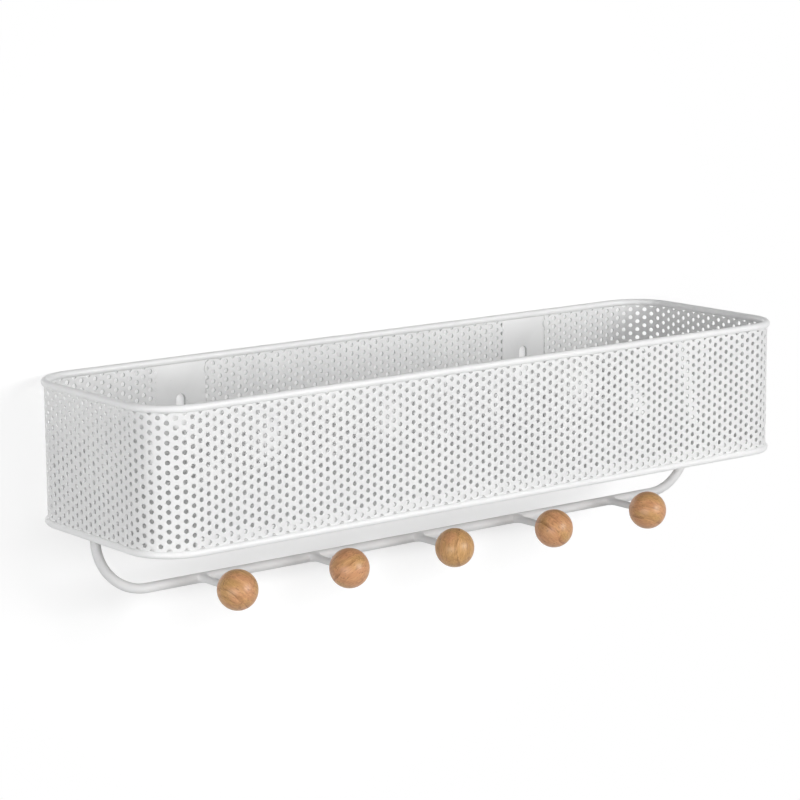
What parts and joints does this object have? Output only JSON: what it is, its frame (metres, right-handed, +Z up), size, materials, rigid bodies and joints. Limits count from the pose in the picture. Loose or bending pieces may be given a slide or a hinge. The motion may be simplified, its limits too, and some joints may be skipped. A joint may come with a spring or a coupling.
{
  "type": "wall rack with key holder",
  "caption": "Long wall-hung basket of punched white steel between two wire rims, with a bent wire rail under its floor whose rod arms end in wooden balls for keys.",
  "frame": {"origin": "on the wall plane, midway between the shanks of the two screws that the rack hangs on", "axes": "+X to the right along the rack seen from the front, +Y into the wall, +Z up"},
  "size_m": [0.3228, 0.0929, 0.0887],
  "materials": {
    "basket_steel": "white powder coat, fine orange peel, satin",
    "wire_steel": "white powder coat on drawn wire, satin",
    "beech": "turned beech, fine grain, thin satin varnish"
  },
  "bodies": {
    "root": {"wall_front": "basket_steel", "bend_front_right": "basket_steel", "wall_right": "basket_steel", "bend_back_right": "basket_steel", "wall_back_right": "basket_steel", "wall_back_middle": "basket_steel", "wall_back_left": "basket_steel", "bend_back_left": "basket_steel", "wall_left": "basket_steel", "bend_front_left": "basket_steel", "top_rim": "wire_steel", "bottom_rim": "wire_steel", "floor_panel": "basket_steel", "hanger_strap_left": "basket_steel", "hanger_strap_right": "basket_steel", "hook_rail": "wire_steel", "hook_arm_1": "wire_steel", "hook_arm_2": "wire_steel", "hook_arm_3": "wire_steel", "hook_arm_4": "wire_steel", "hook_arm_5": "wire_steel", "wood_ball_1": "beech", "wood_ball_2": "beech", "wood_ball_3": "beech", "wood_ball_4": "beech", "wood_ball_5": "beech"}
  },
  "joints": []
}
